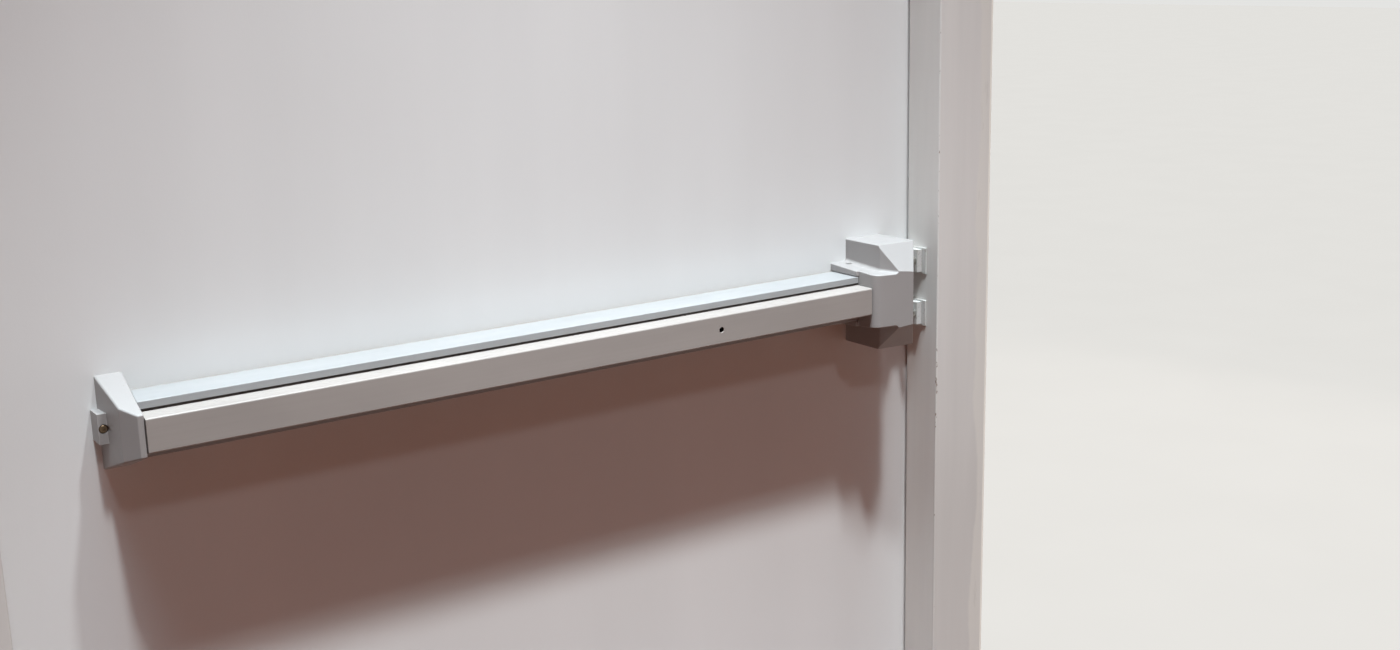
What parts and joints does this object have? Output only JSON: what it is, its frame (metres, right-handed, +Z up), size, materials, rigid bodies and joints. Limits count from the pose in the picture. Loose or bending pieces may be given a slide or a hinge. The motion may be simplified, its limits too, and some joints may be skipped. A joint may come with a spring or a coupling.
{
  "type": "exit door with push bar",
  "caption": "Flush painted steel door in its pressed steel frame, with a push bar exit device whose latch catches a strike on the frame.",
  "frame": {"origin": "centre of the bounding box's bottom, on the finished floor", "axes": "+Z up, +Y towards the outside the door opens to, +X towards the latch side"},
  "size_m": [1.201, 0.1436, 2.201],
  "materials": {
    "leaf_paint": "satin",
    "frame_paint": "satin",
    "device_paint": "satin",
    "bar_metal": "satin",
    "strike_paint": "satin",
    "hinge_steel": "satin",
    "zinc_plate": "satin",
    "bolt_steel": "satin",
    "screw_steel": "satin",
    "spring_steel": "satin",
    "rubber_grey": "matte",
    "honeycomb": "matte"
  },
  "bodies": {
    "frame": {"strike_jamb": "frame_paint", "hinge_jamb": "frame_paint", "frame_head": "frame_paint", "floor_anchor_hinge": "zinc_plate", "floor_anchor_strike": "zinc_plate", "wall_straps": "zinc_plate", "silencers": "rubber_grey", "hinge_top_jamb_flap": "hinge_steel", "hinge_middle_jamb_flap": "hinge_steel", "hinge_bottom_jamb_flap": "hinge_steel", "hinge_pins": "hinge_steel", "jamb_hinge_plates": "zinc_plate", "jamb_hinge_screws": "screw_steel", "strike_shim": "strike_paint", "strike": "strike_paint", "strike_screws": "screw_steel", "strike_plate": "zinc_plate"},
    "leaf": {"room_skin": "leaf_paint", "outer_skin": "leaf_paint", "top_channel": "leaf_paint", "bottom_channel": "leaf_paint", "device_plates": "zinc_plate", "leaf_core": "honeycomb", "hinge_top_leaf_flap": "hinge_steel", "hinge_middle_leaf_flap": "hinge_steel", "hinge_bottom_leaf_flap": "hinge_steel", "leaf_hinge_plates": "zinc_plate", "leaf_hinge_screws": "screw_steel", "rail": "device_paint", "latch_guide": "zinc_plate", "latch_chassis": "zinc_plate", "head_cover": "device_paint", "cover_screws": "screw_steel", "end_cap": "device_paint", "end_bracket": "zinc_plate", "latch_mounting_screws": "screw_steel", "bracket_mounting_screws": "screw_steel", "end_cap_screw": "screw_steel", "dog_base": "zinc_plate", "crank_bases": "zinc_plate", "crank_pins": "bolt_steel"},
    "bar": {"push_bar": "bar_metal", "bar_end_plugs": "rubber_grey", "bar_brackets": "zinc_plate", "dog_plate": "zinc_plate", "return_springs": "spring_steel"},
    "crank_left": {"bell_crank_left": "zinc_plate"},
    "crank_right": {"bell_crank_right": "zinc_plate"},
    "rod": {"control_rod": "zinc_plate"},
    "bolt": {"latch_bolt": "bolt_steel", "latch_spring": "spring_steel"},
    "dog": {"dog_screw": "bolt_steel"}
  },
  "joints": [
    {"name": "door_swing", "type": "hinge", "parent": "frame", "child": "leaf", "pos_m": [-0.532, 0.06465, 1], "axis": [0, 0, 1], "range_deg": [0, 105]},
    {"name": "push_bar", "type": "slide", "parent": "leaf", "child": "bar", "axis": [0, 1, 0], "range_m": [0, 0.015], "stiffness_N_per_m": 1000, "springref_m": -0.02, "deforming": ["return_springs"]},
    {"name": "crank_left", "type": "hinge", "parent": "leaf", "child": "crank_left", "pos_m": [-0.2862, -0.02545, 1.016], "axis": [0, 0, 1], "range_deg": [0, 40]},
    {"name": "crank_right", "type": "hinge", "parent": "leaf", "child": "crank_right", "pos_m": [0.2944, -0.02545, 1.016], "axis": [0, 0, 1], "range_deg": [0, 40]},
    {"name": "control_rod", "type": "slide", "parent": "leaf", "child": "rod", "axis": [-1, 0, 0], "range_m": [0, 0.015]},
    {"name": "latch_bolt", "type": "slide", "parent": "leaf", "child": "bolt", "axis": [-1, 0, 0], "range_m": [0, 0.015], "deforming": ["latch_spring"]},
    {"name": "dog_screw", "type": "hinge", "parent": "leaf", "child": "dog", "pos_m": [0.1971, -0.02, 1.016], "axis": [0, 1, 0], "range_deg": [0, 90]}
  ],
  "couplings": [
    {"joint": "crank_left", "follows": "push_bar", "rad_per_m": 46.385},
    {"joint": "crank_right", "follows": "push_bar", "rad_per_m": 46.385},
    {"joint": "control_rod", "follows": "push_bar", "ratio": 1},
    {"joint": "latch_bolt", "follows": "push_bar", "ratio": 1}
  ]
}
